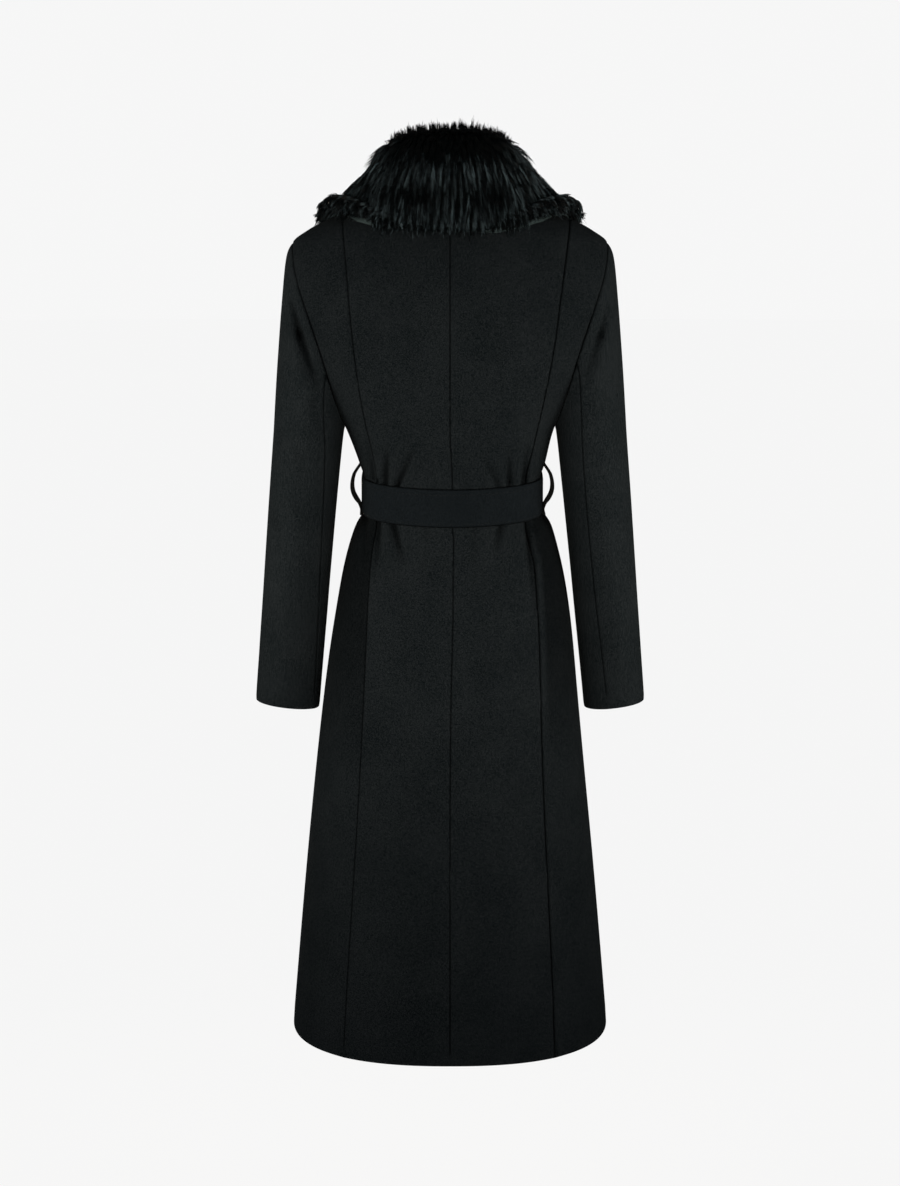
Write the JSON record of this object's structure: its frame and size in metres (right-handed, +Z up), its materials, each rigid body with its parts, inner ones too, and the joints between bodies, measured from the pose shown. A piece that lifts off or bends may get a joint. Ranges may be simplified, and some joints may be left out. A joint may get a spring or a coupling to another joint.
{
  "type": "fur-collar coat",
  "caption": "Long fitted wool coat with a deep fur collar and a tied belt, filled out as if worn, seen from the back.",
  "frame": {"origin": "inside the neck, level with the neck seam at the centre back and in line with the shoulder seams", "axes": "+Z up along the wearer's height, the back of the coat faces +Y, the wearer's left is +X"},
  "size_m": [0.5272, 0.386, 1.1977],
  "materials": {
    "wool": "matt brushed wool",
    "fur": "long soft pile",
    "cord": "satin thread"
  },
  "bodies": {
    "root": {"back_centre_left": "wool", "back_centre_right": "wool", "back_side_left": "wool", "back_side_right": "wool", "front_left": "wool", "front_right": "wool", "sleeve_upper_left": "wool", "sleeve_under_left": "wool", "sleeve_upper_right": "wool", "sleeve_under_right": "wool", "collar_fur": "fur", "collar_under": "wool", "belt_band": "wool", "belt_knot": "wool", "belt_end_left": "wool", "belt_end_right": "wool", "belt_carrier_left": "cord", "belt_carrier_right": "cord"}
  },
  "joints": []
}
